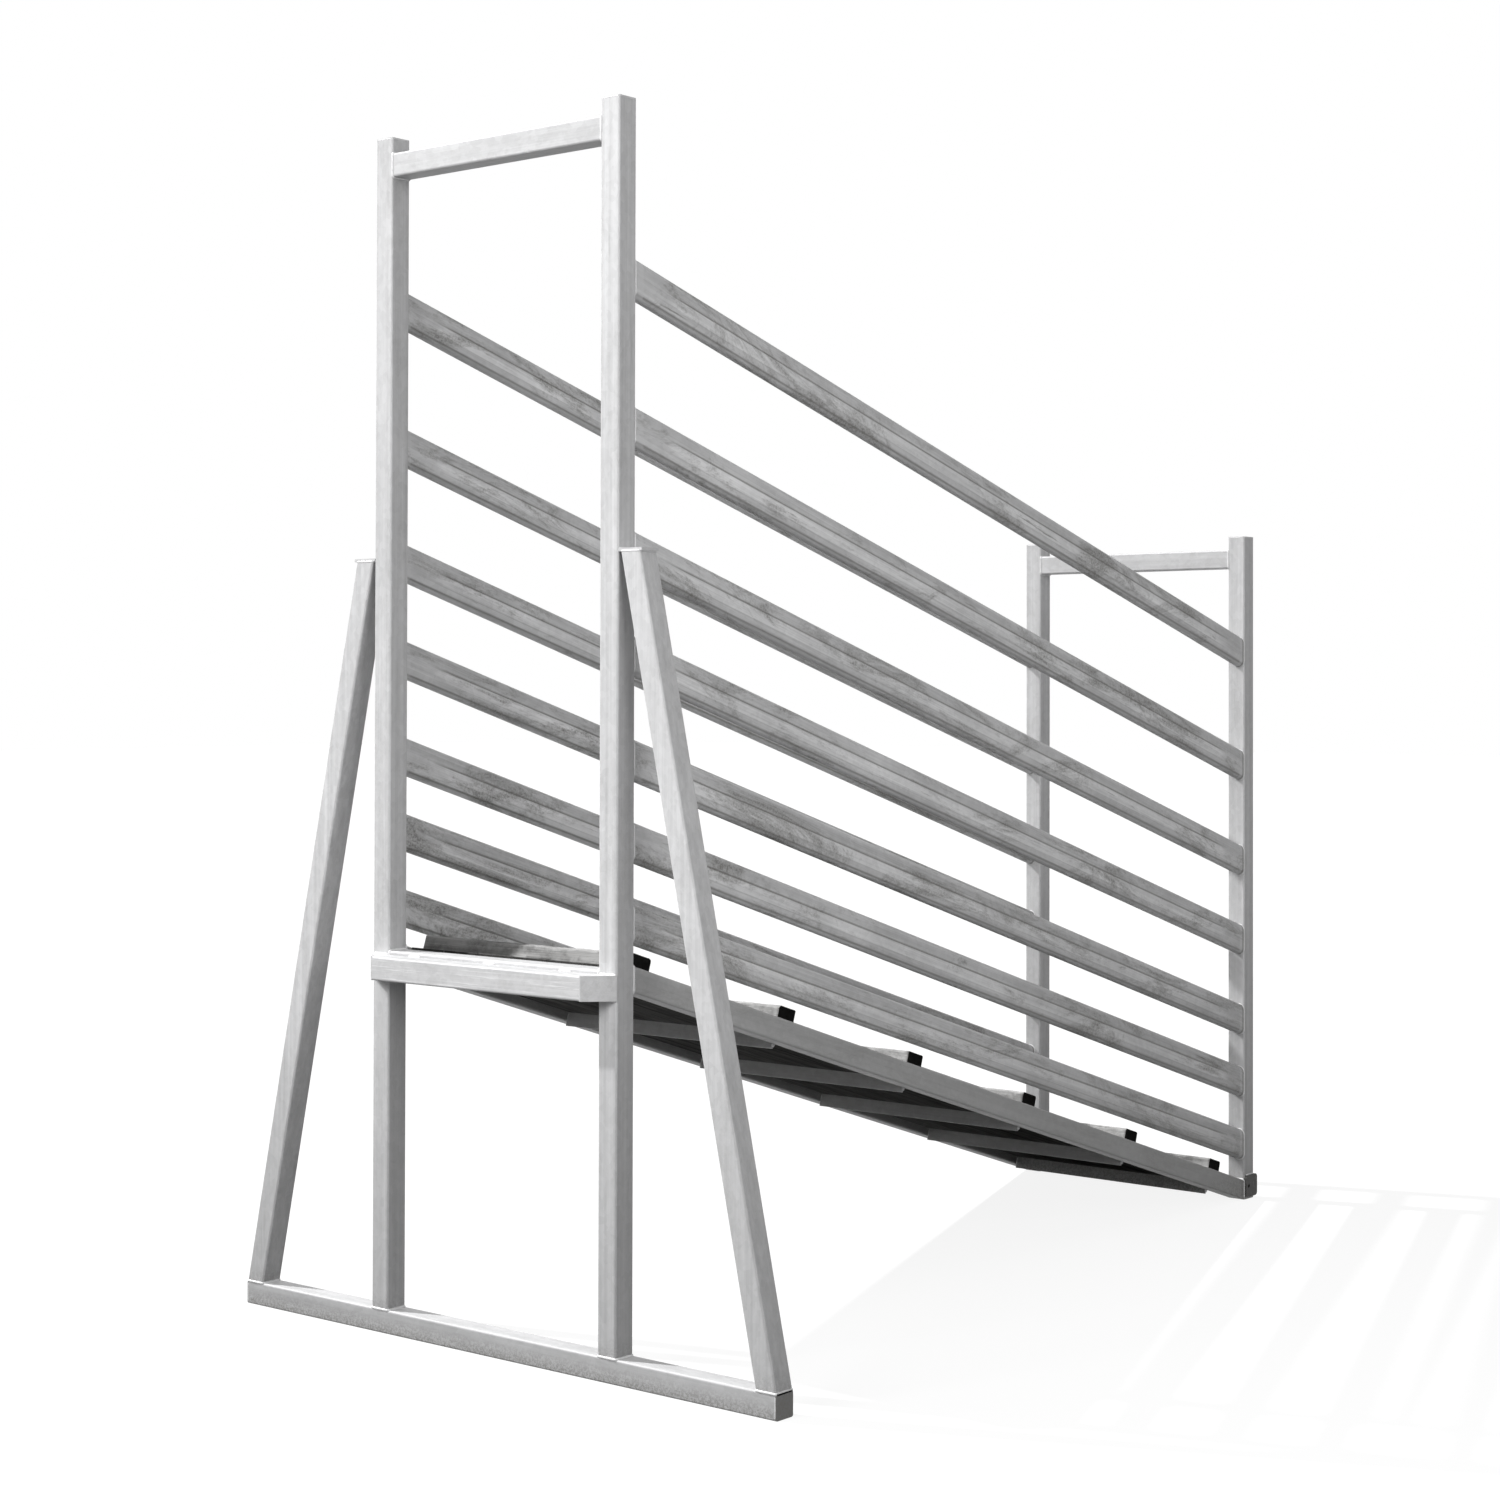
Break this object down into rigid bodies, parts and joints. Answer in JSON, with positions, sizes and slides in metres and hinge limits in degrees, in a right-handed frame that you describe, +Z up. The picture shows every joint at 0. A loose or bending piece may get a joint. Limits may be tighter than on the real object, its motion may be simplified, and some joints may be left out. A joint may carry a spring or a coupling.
{
  "type": "livestock loading ramp",
  "caption": "Fixed-height livestock loading ramp: welded square-tube frame on a wide base skid, sloping timber floor with cross cleats, oval side rails on both sides.",
  "frame": {"origin": "bottom centre of the bounding box, on the ground", "axes": "+X from the high loading end down to the low end, +Y to the left as seen from the high end, +Z up"},
  "size_m": [3.295, 1.98, 3.28],
  "materials": {
    "galvanised_steel": "dull hot-dip galvanised",
    "galvanised_rail": "dull galvanised, faint lengthwise streaks",
    "dark_steel": "dark, weathered",
    "zinc_fasteners": "dull zinc plated",
    "floor_timber": "weathered sawn timber",
    "cleat_timber": "weathered planed timber with eased edges"
  },
  "bodies": {
    "root": {"base_skid": "galvanised_steel", "base_skid_end_left": "galvanised_steel", "base_skid_end_right": "galvanised_steel", "front_post_left": "galvanised_steel", "front_post_right": "galvanised_steel", "front_post_cap_left": "galvanised_steel", "front_post_cap_right": "galvanised_steel", "brace_left": "galvanised_steel", "brace_right": "galvanised_steel", "brace_plate_left": "galvanised_steel", "brace_plate_right": "galvanised_steel", "front_crossbar_top": "galvanised_steel", "front_crossbar_floor": "galvanised_steel", "threshold": "galvanised_steel", "threshold_end_left": "galvanised_steel", "threshold_end_right": "galvanised_steel", "stringer_left": "galvanised_steel", "stringer_right": "galvanised_steel", "cross_angle_1": "galvanised_steel", "cross_angle_2": "galvanised_steel", "cross_angle_3": "galvanised_steel", "cross_angle_4": "galvanised_steel", "cross_angle_5": "galvanised_steel", "cross_angle_6": "galvanised_steel", "floor_plank_1": "floor_timber", "floor_plank_2": "floor_timber", "floor_plank_3": "floor_timber", "floor_plank_4": "floor_timber", "floor_plank_5": "floor_timber", "floor_plank_6": "floor_timber", "cleat_1": "cleat_timber", "cleat_2": "cleat_timber", "cleat_3": "cleat_timber", "cleat_4": "cleat_timber", "cleat_5": "cleat_timber", "cleat_6": "cleat_timber", "cleat_bolts": "zinc_fasteners", "cleat_washers": "zinc_fasteners", "cleat_nuts": "zinc_fasteners", "rail_left_1": "galvanised_rail", "rail_left_2": "galvanised_rail", "rail_left_3": "galvanised_rail", "rail_left_4": "galvanised_rail", "rail_left_5": "galvanised_rail", "rail_left_6": "galvanised_rail", "rail_left_7": "galvanised_rail", "rail_right_1": "galvanised_rail", "rail_right_2": "galvanised_rail", "rail_right_3": "galvanised_rail", "rail_right_4": "galvanised_rail", "rail_right_5": "galvanised_rail", "rail_right_6": "galvanised_rail", "rail_right_7": "galvanised_rail", "rear_post_left": "galvanised_steel", "rear_post_right": "galvanised_steel", "rear_post_cap_left": "galvanised_steel", "rear_post_cap_right": "galvanised_steel", "rear_crossbar_top": "galvanised_steel", "lug_left": "dark_steel", "lug_right": "dark_steel"}
  },
  "joints": []
}
